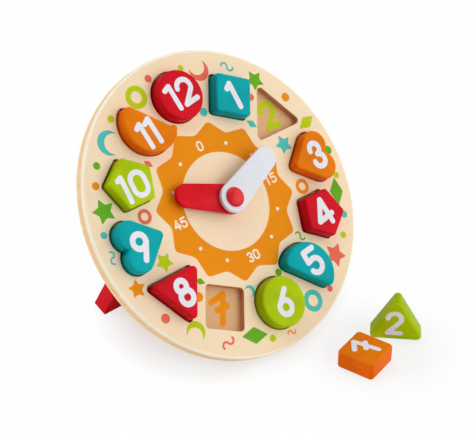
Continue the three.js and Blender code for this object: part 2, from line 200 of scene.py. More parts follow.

# %% [markdown]
# The blocks, the hands and the stand are painted wood. The paint is even and strong, but
# the wood's grain still shows through it as a faint relief, and the tone drifts a little over
# a piece. The corners are paler: partly rubbed where little hands hold them, partly a painted
# highlight where the rims catch the light. The sides of a block are painted a deeper tone
# than its top, as painted shade. Only the cap in the middle of the dial has a clear coat over
# its paint.

# %% Paint finishes
def paint(name, colour, gloss=(0.3, 0.42), drift=0.93, coat=0, wear_and_highlight=0.45):
    material, tree, shader = new_finish(name)
    shader.inputs["Specular IOR Level"].default_value = 0.05
    grain = noise(tree, placed(tree, scale=(90, 620, 620)), 1, detail=2)
    clouds = noise(tree, placed(tree), 34, detail=2)
    deeper = [value * drift for value in colour]
    cloud = spread(tree, clouds, 0.38, 0.66, 0, 1)
    body = blend_colour(tree, cloud, shade(*colour), shade(*deeper))
    # Corners found by pointiness are made paler: partly wear, partly a painted highlight on the
    # rims.
    corners = add_node(tree, "ShaderNodeNewGeometry").outputs["Pointiness"]
    rubbed_and_highlit = [value + (255 - value) * 0.35 for value in colour]
    wear_and_highlight_mask = spread(tree, corners, 0.53, 0.62, 0, wear_and_highlight)
    tree.links.new(blend_colour(tree, wear_and_highlight_mask, body, shade(*rubbed_and_highlit)), shader.inputs["Base Color"])
    tree.links.new(spread(tree, grain, 0.3, 0.7, *gloss), shader.inputs["Roughness"])
    relief(tree, shader, grain, strength=0.12, distance=0.04 * MM)
    shader.inputs["Coat Weight"].default_value = coat
    shader.inputs["Coat Roughness"].default_value = 0.18
    return material


PAINTS = {
    "red": paint("red_paint", (218, 14, 34)),
    "orange": paint("orange_paint", (238, 126, 0)),
    "lime": paint("lime_paint", (180, 206, 0)),
    "teal": paint("teal_paint", (0, 171, 177)),
    "white": paint("white_paint", (238, 238, 244), drift=0.97, wear_and_highlight=0),
}
# Darker copies of the paints for the sides of the blocks: painted shade, not a stain.
SHADED_SIDE_PAINTS = {
    "red": paint("red_shaded_side", (206, 8, 26)),
    "orange": paint("orange_shaded_side", (240, 107, 0)),
    "lime": paint("lime_shaded_side", (166, 190, 0)),
    "teal": paint("teal_shaded_side", (0, 154, 158)),
}
hand_red = paint("hand_red", (226, 14, 34), gloss=(0.24, 0.34))
cap_red = paint("cap_red", (228, 4, 28), gloss=(0.2, 0.26), coat=0.35, wear_and_highlight=0.2)
hand_white = paint("hand_white", (233, 233, 240), gloss=(0.28, 0.38), drift=0.98, wear_and_highlight=0)
stand_red = paint("stand_red", (226, 6, 26))
print("paints:", ", ".join(PAINTS))

# %% [markdown]
# Printed colours lie flat on the wood with no gloss of their own, and the screws and the
# washer are the only parts that aren't wood: zinc plated steel with fine turning marks,
# and a smooth moulded plastic.

# %% Print, steel and plastic finishes
def ink(name, colour):
    material, tree, shader = new_finish(name)
    shader.inputs["Specular IOR Level"].default_value = 0.06
    fibres = noise(tree, placed(tree, BOARD_GRAIN, ALONG_GRAIN), 1, detail=5, distortion=0.4)
    thin = [value + (255 - value) * 0.12 for value in colour]
    share = spread(tree, fibres, 0.4, 0.7, 0, 0.4)
    tone = blend_colour(tree, share, shade(*colour), shade(*thin))
    tree.links.new(tone, shader.inputs["Base Color"])
    tree.links.new(spread(tree, fibres, 0.3, 0.7, 0.45, 0.58), shader.inputs["Roughness"])
    relief(tree, shader, fibres, strength=0.15, distance=0.04 * MM)
    return material


INKS = {
    "orange": ink("orange_ink", (238, 142, 4)),
    "lime": ink("lime_ink", (186, 206, 10)),
    "green": ink("green_ink", (98, 172, 28)),
    "teal": ink("teal_ink", (78, 192, 184)),
    "salmon": ink("salmon_ink", (236, 108, 86)),
    "red": ink("red_ink", (214, 40, 52)),
    "white": ink("white_ink", (252, 240, 224)),
}


def screw_steel():
    material, tree, shader = new_finish("screw_steel")
    marks = noise(tree, placed(tree, BOARD_GRAIN, (900, 900, 4000)), 1, detail=3)
    share = spread(tree, marks, 0.35, 0.65, 0, 1)
    tone = blend_colour(tree, share, shade(200, 202, 206), shade(168, 170, 176))
    tree.links.new(tone, shader.inputs["Base Color"])
    tree.links.new(spread(tree, marks, 0.3, 0.7, 0.24, 0.42), shader.inputs["Roughness"])
    relief(tree, shader, marks, strength=0.15, distance=0.03 * MM)
    shader.inputs["Metallic"].default_value = 1
    return material


steel = screw_steel()
plastic = paint("washer_plastic", (238, 238, 236), gloss=(0.35, 0.45), drift=0.97, wear_and_highlight=0)
print("inks:", ", ".join(INKS), "and", steel.name, plastic.name)

# %% [markdown]
# Modelling by hand in code needs a few habits: deselect everything, work on one object,
# pick faces or edges by where they are, and leave edit mode again. These helpers do that.
# Lengths are in millimetres, and everything is drawn flat, with w as the height, before it
# is laid on the board. A cutting tool reaches past the surface that it cuts by the overcut,
# so that no two faces coincide, and two points less than a hair apart are made one. Faces
# that differ by a fraction of a degree are made one flat face, and edges flatter than 32
# degrees are shaded smooth.

# %% Helpers for modelling
FLAT_WITHIN, SMOOTH_BELOW = 0.2, 32


def alone(piece):
    bpy.ops.object.select_all(action="DESELECT")
    piece.select_set(True)
    bpy.context.view_layer.objects.active = piece
    return piece


def edit(piece, kind="EDGE"):
    alone(piece)
    bpy.ops.object.mode_set(mode="EDIT")
    bpy.ops.mesh.select_mode(type=kind)
    bpy.ops.mesh.select_all(action="SELECT")


def leave():
    bpy.ops.object.mode_set(mode="OBJECT")


def pick(piece, kind, test):
    bpy.ops.mesh.select_all(action="DESELECT")
    mesh = bmesh.from_edit_mesh(piece.data)
    for item in {"VERT": mesh.verts, "EDGE": mesh.edges, "FACE": mesh.faces}[kind]:
        if test(item):
            item.select_set(True)
    mesh.select_flush_mode()
    bmesh.update_edit_mesh(piece.data)


def post(x, y, radius, low, high, sides=48, top_radius=None):
    bpy.ops.object.select_all(action="DESELECT")
    bpy.ops.mesh.primitive_cone_add(
        vertices=sides, radius1=radius * MM, depth=(high - low) * MM,
        radius2=(radius if top_radius is None else top_radius) * MM,
        location=mm(x, y, (low + high) / 2),
    )
    bpy.ops.object.transform_apply(location=True, rotation=True, scale=True)
    return bpy.context.object


def join(pieces):
    alone(pieces[0])
    for piece in pieces[1:]:
        piece.select_set(True)
    if len(pieces) > 1:
        bpy.ops.object.join()
    return pieces[0]


def tidy_shell():
    bpy.ops.mesh.remove_doubles(threshold=HAIR)
    bpy.ops.mesh.dissolve_limited(angle_limit=radians(FLAT_WITHIN))
    bpy.ops.mesh.select_all(action="SELECT")
    bpy.ops.mesh.normals_make_consistent(inside=False)


def wrap(pieces):
    piece = join(pieces)
    edit(piece)
    bpy.ops.mesh.convex_hull(delete_unused=True, use_existing_faces=False, make_holes=False)
    bpy.ops.mesh.select_all(action="SELECT")
    tidy_shell()
    leave()
    return piece


def cut_out(piece, cutter):
    alone(piece)
    made = piece.modifiers.new("cut", "BOOLEAN")
    made.object, made.operation, made.solver = cutter, "DIFFERENCE", "EXACT"
    bpy.ops.object.modifier_apply(modifier=made.name)
    bpy.data.objects.remove(cutter)
    return piece


def soften(piece, width, segments, test):
    edit(piece)
    pick(piece, "EDGE", test)
    bpy.ops.mesh.bevel(offset=width * MM, segments=segments, profile=0.5, affect="EDGES")
    leave()


def soften_sharp(piece, width, angle=30):
    alone(piece)
    made = piece.modifiers.new("soften", "BEVEL")
    made.width, made.segments, made.limit_method = width * MM, 3, "ANGLE"
    made.angle_limit = radians(angle)
    bpy.ops.object.modifier_apply(modifier=made.name)


def at_level(*levels):
    return lambda edge: any(
        all(abs(v.co.z - level * MM) < HAIR for v in edge.verts) for level in levels)


def put(piece, matrix):
    piece.matrix_world = matrix
    alone(piece)
    bpy.ops.object.transform_apply(location=True, rotation=True, scale=True)
    return piece


def copy_of(piece, name):
    twin = piece.copy()
    twin.data = piece.data.copy()
    twin.name = name
    bpy.context.scene.collection.objects.link(twin)
    return twin


def done(piece, name, finishes, body, nodes=()):
    alone(piece)
    bpy.ops.object.shade_smooth_by_angle(angle=radians(SMOOTH_BELOW))
    piece.name = piece.data.name = name
    places = [polygon.material_index for polygon in piece.data.polygons]
    piece.data.materials.clear()
    for finish in finishes:
        piece.data.materials.append(finish)
    for polygon, place in zip(piece.data.polygons, places):
        polygon.material_index = min(place, len(finishes) - 1)
    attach(piece, body)
    if nodes:
        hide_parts(*nodes)
    return piece


print("helpers for modelling are ready")

# %% [markdown]
# Every block outline is round at its corners, so each can be wrapped round posts: one post
# for the circle, one at each corner of a polygon, and for the half disc two small posts and
# the lower part of a big one. The heart isn't convex, so one half is wrapped, cut at the
# middle and mirrored. The same outlines, a little bigger, later cut the recesses.

# %% The six outlines
def corner_post(x, y, radius, low, high, grow, flare, sides=48):
    return post(x, y, radius + grow, low, high, sides, radius + grow + flare)


def polygon_posts(sides, reach, corner, low, high, grow, flare):
    corner -= grow
    away = reach - corner / cos(pi / sides)
    turns = [pi / 2 + i * 2 * pi / sides for i in range(sides)]
    return wrap([
        corner_post(away * cos(turn), away * sin(turn), corner, low, high, grow, flare)
        for turn in turns
    ])


def outline_circle(low, high, grow=0, flare=0):
    radius = 23.6
    return wrap([corner_post(0, 0, radius, low, high, grow, flare, 144)])


def outline_square(low, high, grow=0, flare=0):
    side, corner = 37.5, 4
    return polygon_posts(4, side / sqrt(2), corner, low, high, grow, flare)


def outline_triangle(low, high, grow=0, flare=0):
    side, corner = 53, 4
    return polygon_posts(3, side / sqrt(3), corner, low, high, grow, flare)


def outline_pentagon(low, high, grow=0, flare=0):
    reach, corner = 24.5, 3.5
    return polygon_posts(5, reach, corner, low, high, grow, flare)


def outline_half_disc(low, high, grow=0, flare=0):
    radius, corner, flat, lift = 27.6, 6, 5.5, 11.05
    level = flat - corner
    aside = sqrt((radius - corner) ** 2 - level ** 2)
    disc = corner_post(0, lift, radius, low, high, grow, flare, 144)
    edit(disc)
    bpy.ops.mesh.bisect(plane_co=mm(0, lift + level, 0), plane_no=(0, 1, 0), clear_outer=True)
    leave()
    ends = [
        corner_post(side * aside, lift + level, corner, low, high, grow, flare)
        for side in (-1, 1)
    ]
    return wrap([disc, *ends])


def outline_heart(low, high, grow=0, flare=0):
    width, length, share, tip = 48.5, 44, 0.81, 4.5
    lobe = width / 2 / (1 + share)
    half = wrap([
        corner_post(lobe * share, length / 2 - lobe, lobe, low, high, grow, flare, 96),
        corner_post(0, tip - length / 2, tip, low, high, grow, flare),
    ])
    edit(half)
    bpy.ops.mesh.bisect(plane_co=(0, 0, 0), plane_no=(1, 0, 0), clear_inner=True)
    leave()
    mirror = half.modifiers.new("mirror", "MIRROR")
    mirror.use_clip, mirror.merge_threshold = True, 10 * HAIR
    bpy.ops.object.modifier_apply(modifier=mirror.name)
    edit(half)
    tidy_shell()
    leave()
    return half


OUTLINES = {
    "circle": outline_circle, "square": outline_square, "triangle": outline_triangle,
    "heart": outline_heart, "pentagon": outline_pentagon, "half_disc": outline_half_disc,
}
print("outlines:", ", ".join(OUTLINES))

# %% Where each block belongs on the dial: kind, colour, x, u and its turn
HOURS = {
    1: ("square", "teal", 52.255, 85.27, 15), 2: ("triangle", "lime", 90.595, 52.305, 0),
    3: ("heart", "orange", 104.61, 0, -90), 4: ("pentagon", "red", 87.477, -50.505, 180),
    5: ("half_disc", "teal", 50.788, -84.525, 135), 6: ("circle", "lime", 1.095, -104.6, 0),
    7: ("square", "orange", -52.255, -85.27, 15), 8: ("triangle", "red", -90.595, -52.305, 180),
    9: ("heart", "teal", -104.61, 0, -270), 10: ("pentagon", "lime", -87.477, 50.505, 0),
    11: ("half_disc", "orange", -50.788, 84.525, -45), 12: ("circle", "red", -1.095, 104.6, 0),
}


def at_hour(hour, height=0):
    x, u, turn = HOURS[hour][2:]
    return Matrix.Translation(mm(x, u, height)) @ Matrix.Rotation(radians(turn), 4, "Z")


print("the dial has", len(HOURS), "places")

# %% [markdown]
# A block is a thick slab with wide soft edges, made to be gripped. Its outline is raised to
# 18 mm and its two rims are bevelled in several steps. Each of the six kinds is modelled
# once, and its two blocks are copies of it, each turned and moved to its own place.

# %% The six kinds of block
BLOCK_ROUNDING = 2.4
block_kinds = {}
for kind, outline in OUTLINES.items():
    model = outline(0, BLOCK_DEPTH)
    soften(model, BLOCK_ROUNDING, 6, at_level(0, BLOCK_DEPTH))
    # Top and bottom faces take the paint; the sides take its darker copy, which is painted shade.
    for polygon in model.data.polygons:
        polygon.material_index = 0 if abs(polygon.normal.z) > 0.6 else 1
    block_kinds[kind] = model
    size = [round(length / MM, 1) for length in model.dimensions]
    print(kind, "has", len(model.data.polygons), "faces, size", size, "mm")

# %% Twelve blocks: ten in their recesses and two loose in front
LOOSE_SQUARE = Matrix.Translation(mm(31.9, -114.96, 0)) @ Matrix.Rotation(radians(42), 4, "Z")
LOOSE_TRIANGLE = (
    Matrix.Translation(mm(84.848, -105.146, 15.3)) @ Matrix.Rotation(radians(-49), 4, "Z")
    @ Matrix.Rotation(radians(90), 4, "X") @ Matrix.Translation(mm(0, 0, -BLOCK_DEPTH / 2))
)
block_places = {hour: ON_BOARD @ at_hour(hour, -FACE_DEPTH) for hour in HOURS}
block_places[7] = LOOSE_SQUARE @ Matrix.Rotation(radians(HOURS[7][4]), 4, "Z")
block_places[2] = LOOSE_TRIANGLE
for hour, (kind, colour, *_) in HOURS.items():
    name = f"block_{hour}"
    piece = put(copy_of(block_kinds[kind], f"{name}_body"), block_places[hour])
    finishes = [PAINTS[colour], SHADED_SIDE_PAINTS[colour]]
    done(piece, f"{name}_body", finishes, name, [name])
for model in block_kinds.values():
    bpy.data.objects.remove(model)
print("twelve blocks are in place")

# %% [markdown]
# The board is two plates glued face to face. The front plate is a disc whose front rim is
# rounded, with a recess for each block cut right through it. The recesses are wider than the
# blocks, and the blocks have slid down to the lower side of them. Each recess is cut twice:
# once straight down, and once with a flared tool that takes the sharp corner off its edge.
# The back plate shows at the bottom of the two empty recesses.

# %% Front plate
RIM_ROUNDING = 3.2
RECESS_GAP, RECESS_SLIDE, LIP = 1.3, 0.6, 0.4
ROUNDED_FROM, WALL_FROM = 141, 144


def recess_tools(low, high, flare):
    slid = Matrix.Translation(mm(0, RECESS_SLIDE, 0))
    return join([
        put(OUTLINES[kind](low, high, RECESS_GAP, flare), slid @ at_hour(hour))
        for hour, (kind, *_) in HOURS.items()
    ])


def front_finish(polygon):
    reach = hypot(polygon.center.x, polygon.center.y) / MM
    facing = polygon.normal.z
    # Faces on the rounded rim take the paler finish, which is a painted highlight.
    if 0.15 < facing < 0.98 and reach > ROUNDED_FROM:
        return 1
    if facing > 0.5:
        return 0
    # Inner walls take the darker wall finish, which is partly painted shade.
    return 3 if reach > WALL_FROM else 2


front = post(0, 0, BOARD_RADIUS, -FACE_DEPTH, 0, 240)
soften(front, RIM_ROUNDING, 6, at_level(0))
front = cut_out(front, recess_tools(-FACE_DEPTH - OVERCUT, OVERCUT, 0))
front = cut_out(front, recess_tools(-LIP, 0.1, LIP))
front = cut_out(front, post(0, 0, BORE_RADIUS, -FACE_DEPTH - OVERCUT, OVERCUT))
for polygon in front.data.polygons:
    polygon.material_index = front_finish(polygon)
print("front plate:", len(front.data.polygons), "faces")
put(front, ON_BOARD)
front_finishes = [birch_face, birch_edge_painted_highlight, birch_wall_and_shade, birch_rim]
done(front, "board_face", front_finishes, "board", ["front_board"])

# %% Back plate
REAR_ROUNDING, REAR_RIM_FROM = 1.0, 143
rear = post(0, 0, BOARD_RADIUS, BACK_FROM, BACK_TO, 240)
soften(rear, REAR_ROUNDING, 3, at_level(BACK_FROM))
rear = cut_out(rear, post(0, 0, BORE_RADIUS, BACK_FROM - OVERCUT, BACK_TO + OVERCUT))
for polygon in rear.data.polygons:
    reach = hypot(polygon.center.x, polygon.center.y) / MM
    polygon.material_index = 0 if polygon.normal.z > 0.9 else 1 if reach > REAR_RIM_FROM else 2
put(rear, ON_BOARD)
rear_finishes = [birch_floor, birch_rim, birch_back]
done(rear, "board_back_plate", rear_finishes, "board", ["back_board"])
print("back plate:", len(rear.data.polygons), "faces")

# %% [markdown]
# The numbers are thick rounded strokes of white paint. A font could draw them, but these
# are plain strokes of one width with round ends, so they are drawn as a sign painter would:
# a straight stroke is wrapped round two posts, and a curved stroke is a small upright face
# spun round its centre. For a full ring only the face's four edges are spun, because the
# face itself would stay inside the ring. Each new stroke ends a small step above the last,
# so that no two faces coincide.

# %% Strokes
SUNK, THICK, STEP = 0.05, 0.07, 0.02


def straight(start, end, width, low, top):
    return wrap([post(*start, width / 2, low, top, 24), post(*end, width / 2, low, top, 24)])


def on_circle(centre, radius, angle):
    return centre[0] + radius * cos(angle), centre[1] + radius * sin(angle)


def curved(centre, radius, start, turn, width, low, top):
    angle = radians(start)
    bpy.ops.object.select_all(action="DESELECT")
    bpy.ops.mesh.primitive_plane_add(
        size=1, rotation=(pi / 2, 0, angle),
        location=mm(*on_circle(centre, radius, angle), (low + top) / 2),
    )
    arc = bpy.context.object
    arc.scale = (width * MM, (top - low) * MM, 1)
    bpy.ops.object.transform_apply(location=True, rotation=True, scale=True)
    edit(arc)
    if abs(turn) == 360:
        bpy.ops.mesh.delete(type="ONLY_FACE")
        bpy.ops.mesh.select_all(action="SELECT")
    steps = max(6, round(abs(turn) / 8))
    bpy.ops.mesh.spin(
        steps=steps, angle=-radians(turn), center=mm(*centre, 0), axis=(0, 0, 1),
    )
    bpy.ops.mesh.select_all(action="SELECT")
    bpy.ops.mesh.remove_doubles(threshold=2 * HAIR)
    bpy.ops.mesh.normals_make_consistent(inside=False)
    leave()
    return arc


def draw(strokes, width, low, size=1, shift=(0, 0)):
    parts = []
    foot = low - SUNK

    def at(point):
        return (point[0] * size + shift[0], point[1] * size + shift[1])

    for kind, first, *rest in strokes:
        top = low + THICK + STEP * len(parts)
        if kind == "line":
            points = [at(point) for point in (first, *rest)]
            parts += [straight(a, b, width, foot, top + STEP * i)
                      for i, (a, b) in enumerate(zip(points, points[1:]))]
            continue
        radius, start, turn = rest
        centre, radius = at(first), radius * size
        parts.append(curved(centre, radius, start, turn, width, foot, top))
        if abs(turn) < 360:
            for i, angle in enumerate((start, start + turn)):
                end = on_circle(centre, radius, radians(angle))
                parts.append(post(*end, width / 2, foot, top + STEP / 4 * (i + 1), 24))
    return join(parts)


test = draw([("arc", (0, 0), 10, 0, 90)], 4, 0)
print("a quarter turn spans", [round(v / MM, 1) for v in test.dimensions], "mm")
bpy.data.objects.remove(test)

# %% Numbers on the blocks that sit in the board, in the board's own x and u
ONE_DIGIT, TWO_DIGITS = 5.5, 5.0
NUMBERS = {
    12: [("line", (-16.0, 112.8), (-10.3, 115.4), (-7.8, 93.2)),
         ("arc", (4.8, 109.6), 7.3, 175, -200),
         ("line", (11.4, 106.5), (-0.2, 94.2), (13.7, 96.4))],
    1: [("line", (47.8, 92.6), (52.6, 96.0), (53.3, 72.6))],
    11: [("line", (-60.6, 91.8), (-56.2, 94.8), (-53.2, 72.0)),
         ("line", (-50.8, 93.0), (-45.6, 96.4), (-42.4, 73.6))],
    3: [("arc", (109.3, 7.0), 5.6, 186, -267), ("arc", (109.9, -4.6), 6.1, 83, -265)],
    10: [("line", (-101.8, 57.2), (-97.6, 59.0), (-97.5, 36.2)),
         ("arc", (-83, 51.3), 7.1, 0, 180), ("line", (-90.1, 51.3), (-90.1, 44.3)),
         ("arc", (-83, 44.3), 7.1, 180, 180), ("line", (-75.9, 44.3), (-75.9, 51.3))],
    4: [("line", (88.2, -38.2), (77.8, -56.8), (94.8, -54.2)),
        ("line", (88.4, -38.2), (91.6, -61.4))],
    9: [("arc", (-108.7, 2.6), 6.5, 0, 360), ("line", (-102.3, 0.6), (-110.2, -14.2))],
    6: [("arc", (-0.4, -110), 6.6, 0, 360), ("line", (-5.5, -105.8), (6.4, -94.8))],
    5: [("line", (55.2, -73.8), (43.4, -75.0), (44.2, -85.0), (48.6, -83.9)),
        ("arc", (51.2, -90.2), 6.9, 112, -262)],
    8: [("arc", (-90.6, -48.6), 5.1, 0, 360), ("arc", (-89.6, -59.3), 6.3, 0, 360)],
}
for hour, strokes in NUMBERS.items():
    width = TWO_DIGITS if hour > 9 else ONE_DIGIT
    piece = put(draw(strokes, width, BLOCK_DEPTH - FACE_DEPTH), ON_BOARD)
    done(piece, f"block_{hour}_number", [PAINTS["white"]], f"block_{hour}")
print("numbers on", len(NUMBERS), "seated blocks")

# %% Numbers on the loose blocks
crossed_seven = [("line", (-4.2, 9.8), (7.8, 10.6), (-1.5, -11.8)),
                 ("line", (-1.2, -0.5), (7.6, 0.3))]
piece = put(draw(crossed_seven, width=4.9, low=BLOCK_DEPTH), LOOSE_SQUARE)
done(piece, "block_7_number", [PAINTS["white"]], "block_7")
swan_two = [("arc", (-1.8, 8.2), 6.2, 178, -206), ("line", (3.7, 5.3), (-7.8, -7.8), (4.5, -7.8))]
piece = put(draw(swan_two, width=4.7, low=BLOCK_DEPTH), LOOSE_TRIANGLE)
done(piece, "block_2_number", [PAINTS["white"]], "block_2")
print("numbers on the two loose blocks")

# %% Numbers printed on the floor of every recess, in its block's colour
floor_numbers = {
    **NUMBERS,
    7: [("line", (-58.8, -75.0), (-43.8, -73.5), (-57.5, -96.5)),
        ("line", (-56.5, -84.0), (-45.2, -84.5))],
    2: [("arc", (92.0, 59.3), 7.2, 178, -206),
        ("line", (98.3, 55.9), (85.6, 43.2), (99.0, 43.2))],
}
for hour, strokes in floor_numbers.items():
    colour = HOURS[hour][1]
    width = 5.9 if hour == 7 else 5.4
    piece = put(draw(strokes, width, BACK_TO), ON_BOARD)
    done(piece, f"recess_{hour}_number", [INKS[colour]], "board")
print("numbers in", len(floor_numbers), "recesses")

# %% [markdown]
# The face carries a print in flat bright colours. In the middle an orange sun surrounds a
# bare disc, its rays point between the blocks, and white minute numbers run round it. Dots,
# rings, moons, stars, lozenges and waves fill the gaps between the blocks. A printed shape
# could be drawn by the wood's material, but thin plates keep their edges sharp from any side.

# %% Printed shapes
PRINT_FOOT, PRINT_TOP = -0.05, 0.06


def star_plate(points, reach, valley_share, rounding):
    bpy.ops.object.select_all(action="DESELECT")
    bpy.ops.mesh.primitive_circle_add(
        vertices=2 * points, radius=reach * MM, fill_type="NGON", location=mm(0, 0, PRINT_FOOT),
    )
    plate = bpy.context.object
    bpy.ops.object.transform_apply(location=True, rotation=True, scale=True)
    edit(plate, "VERT")
    pick(plate, "VERT", lambda vertex: vertex.index % 2 == 1)
    bpy.ops.transform.resize(value=(valley_share, valley_share, 1), center_override=(0, 0, 0))
    bpy.ops.mesh.select_all(action="SELECT")
    bpy.ops.mesh.bevel(offset=rounding * MM, segments=5, affect="VERTICES")
    bpy.ops.mesh.select_all(action="SELECT")
    bpy.ops.mesh.extrude_region_move(
        TRANSFORM_OT_translate={"value": mm(0, 0, PRINT_TOP - PRINT_FOOT)},
    )
    bpy.ops.mesh.select_all(action="SELECT")
    bpy.ops.mesh.normals_make_consistent(inside=False)
    leave()
    return plate


def printed(kind, size):
    if kind == "dot":
        return post(0, 0, size, PRINT_FOOT, PRINT_TOP, 40)
    if kind == "ring":
        return curved((0, 0), size * 0.76, 0, 360, size * 0.48, PRINT_FOOT, PRINT_TOP)
    if kind == "moon":
        disc = post(0, 0, size, PRINT_FOOT, PRINT_TOP, 72)
        return cut_out(disc, post(size * 0.42, 0, size * 0.82, -OVERCUT, OVERCUT, 72))
    if kind == "wave":
        bends = [("arc", (-size, 0), size, 180, -180), ("arc", (size, 0), size, 180, 180)]
        return draw(bends, size * 0.6, 0)
    if kind == "lozenge":
        return star_plate(2, size, valley_share=0.56, rounding=1.0)
    return star_plate(5, size, valley_share=0.52, rounding=1.2)


print("printed shapes are", round(PRINT_TOP - PRINT_FOOT, 2), "mm thick")

# %% The sun and the minute numbers
SUN_RAYS, SUN_REACH, SUN_VALLEYS, SUN_ROUNDING, SUN_HOLE = 12, 76, 0.86, 3.4, 46.5
sun = star_plate(SUN_RAYS, SUN_REACH, SUN_VALLEYS, SUN_ROUNDING)
sun = put(sun, Matrix.Rotation(pi / SUN_RAYS, 4, "Z"))
cut_out(sun, post(0, 0, SUN_HOLE, -OVERCUT, OVERCUT, 144))
put(sun, ON_BOARD)
done(sun, "print_sun", [INKS["orange"]], "board")

DIGITS = {
    "0": [("arc", (0, 0.16), 0.27, 0, 180), ("line", (-0.27, 0.16), (-0.27, -0.16)),
          ("arc", (0, -0.16), 0.27, 180, 180), ("line", (0.27, -0.16), (0.27, 0.16))],
    "1": [("line", (-0.2, 0.26), (0.06, 0.44), (0.06, -0.44))],
    "3": [("arc", (0, 0.2), 0.23, 150, -240), ("arc", (0, -0.2), 0.24, 90, -240)],
    "4": [("line", (0.06, 0.44), (-0.3, -0.14), (0.32, -0.14)),
          ("line", (0.12, 0.12), (0.12, -0.44))],
    "5": [("line", (0.24, 0.44), (-0.2, 0.44), (-0.22, 0.08)),
          ("arc", (-0.02, -0.16), 0.28, 130, -280)],
}
DIGIT_HEIGHT, DIGIT_STEP, MARK_WIDTH, MARK_REACH = 9.5, 7.4, 1.7, 55.5


def round_dial(clock, reach):
    return reach * sin(radians(clock)), reach * cos(radians(clock))


marks = []
for clock, text in ((0, "0"), (90, "15"), (180, "30"), (270, "45")):
    x, u = round_dial(clock, MARK_REACH)
    for i, digit in enumerate(text):
        start = x + (i - (len(text) - 1) / 2) * DIGIT_STEP
        marks.append(draw(DIGITS[digit], MARK_WIDTH, PRINT_TOP, DIGIT_HEIGHT, (start, u)))
for hour in range(12):
    if hour % 3:
        x, u = round_dial(30 * hour, MARK_REACH)
        marks.append(post(x, u, MARK_WIDTH, 0, 2 * PRINT_TOP, 32))
done(put(join(marks), ON_BOARD), "print_minutes", [INKS["white"]], "board")
print("sun print with", len(marks), "white marks")

# %% Shapes round the blocks: kind, colour, clock angle, reach from the middle, size, turn
CONFETTI = [
    ("moon", "salmon", 17, 125, 10.5, 100), ("dot", "lime", 8.5, 129, 3, 0),
    ("dot", "teal", 14, 85, 4.2, 0), ("wave", "teal", 31, 131, 3.2, -30),
    ("star", "green", 45, 127.5, 10.5, 10), ("dot", "salmon", 45, 109, 3.6, 0),
    ("lozenge", "teal", 50, 84, 6.5, 40), ("dot", "orange", 61, 131, 4.4, 0),
    ("lozenge", "lime", 75, 128.5, 11, -75), ("star", "teal", 75, 91, 10, 8),
    ("dot", "green", 90, 133, 4.4, 0), ("ring", "orange", 103, 88, 7.4, 0),
    ("lozenge", "green", 108, 126.5, 14, -20), ("dot", "lime", 101, 131.5, 3.2, 0),
    ("dot", "teal", 118, 132, 3.6, 0), ("star", "salmon", 137, 125.5, 12.5, 24),
    ("dot", "lime", 127, 131, 3.2, 0), ("wave", "green", 136, 83.5, 2.6, -45),
    ("ring", "teal", 162, 125, 10.5, 0), ("dot", "salmon", 152, 132.5, 3.2, 0),
    ("dot", "green", 168, 82, 3.6, 0), ("wave", "orange", 179.5, 134, 2.2, 0),
    ("lozenge", "green", 197, 125, 14, 70), ("dot", "lime", 189, 131.5, 3.4, 0),
    ("moon", "teal", 194, 85, 5.6, 200), ("wave", "salmon", 210, 131, 3.4, 25),
    ("moon", "lime", 225, 128, 9.5, 230), ("dot", "orange", 228, 97, 4.4, 0),
    ("lozenge", "green", 230, 83, 5.5, 50), ("dot", "salmon", 239, 131, 4.4, 0),
    ("star", "orange", 255, 129, 9, -12), ("star", "lime", 255, 91, 9.5, 20),
    ("wave", "teal", 270, 133, 2.8, 90), ("ring", "salmon", 283, 88, 7, 0),
    ("star", "green", 288, 126.5, 12, 0), ("dot", "teal", 279, 132.5, 3.2, 0),
    ("dot", "orange", 298, 132, 3.6, 0), ("moon", "teal", 317, 125, 11.5, 330),
    ("dot", "green", 306, 132, 3.4, 0), ("dot", "lime", 326.5, 132, 3.4, 0),
    ("lozenge", "salmon", 316, 84, 5.4, 40), ("ring", "lime", 342, 125, 11, 0),
    ("dot", "salmon", 352, 131.5, 3.6, 0), ("dot", "orange", 348, 81.5, 3.6, 0),
]
by_colour = {}
for kind, colour, clock, reach, size, turn in CONFETTI:
    place = Matrix.Translation(mm(*round_dial(clock, reach), 0))
    shape = put(printed(kind, size), place @ Matrix.Rotation(radians(turn), 4, "Z"))
    by_colour.setdefault(colour, []).append(shape)
for colour, shapes in by_colour.items():
    piece = put(join(shapes), ON_BOARD)
    done(piece, f"print_{colour}", [INKS[colour]], "board")
print(len(CONFETTI), "printed shapes in", len(by_colour), "colours")

# %% [markdown]
# The two hands are flat tapered bars with a round hub, stacked on a peg with a domed red
# cap. A bar is wrapped round a big and a small post, bored through, and its two rims are
# bevelled. The peg runs through the board and is held behind it by a wooden ring.

# %% Hands
HAND_DEPTH, HUB_RADIUS, TIP_RADIUS, HAND_ROUNDING = 4.5, 14, 11, 0.9


def bar_hand(length, low, clock):
    high = low + HAND_DEPTH
    piece = wrap([
        post(0, 0, HUB_RADIUS, low, high, 96),
        post(0, length - TIP_RADIUS, TIP_RADIUS, low, high, 72),
    ])
    soften(piece, HAND_ROUNDING, 4, at_level(low, high))
    cut_out(piece, post(0, 0, BORE_RADIUS, low - OVERCUT, high + OVERCUT))
    return put(piece, ON_BOARD @ Matrix.Rotation(-radians(clock), 4, "Z"))


short = bar_hand(length=57.51, low=4.6, clock=296)
done(short, "hour_hand_bar", [hand_red], "hour_hand", ["hour_hand"])
long = bar_hand(length=66.01, low=10.3, clock=69)
done(long, "minute_hand_bar", [hand_white], "minute_hand", ["minute_hand"])
print("two hands")

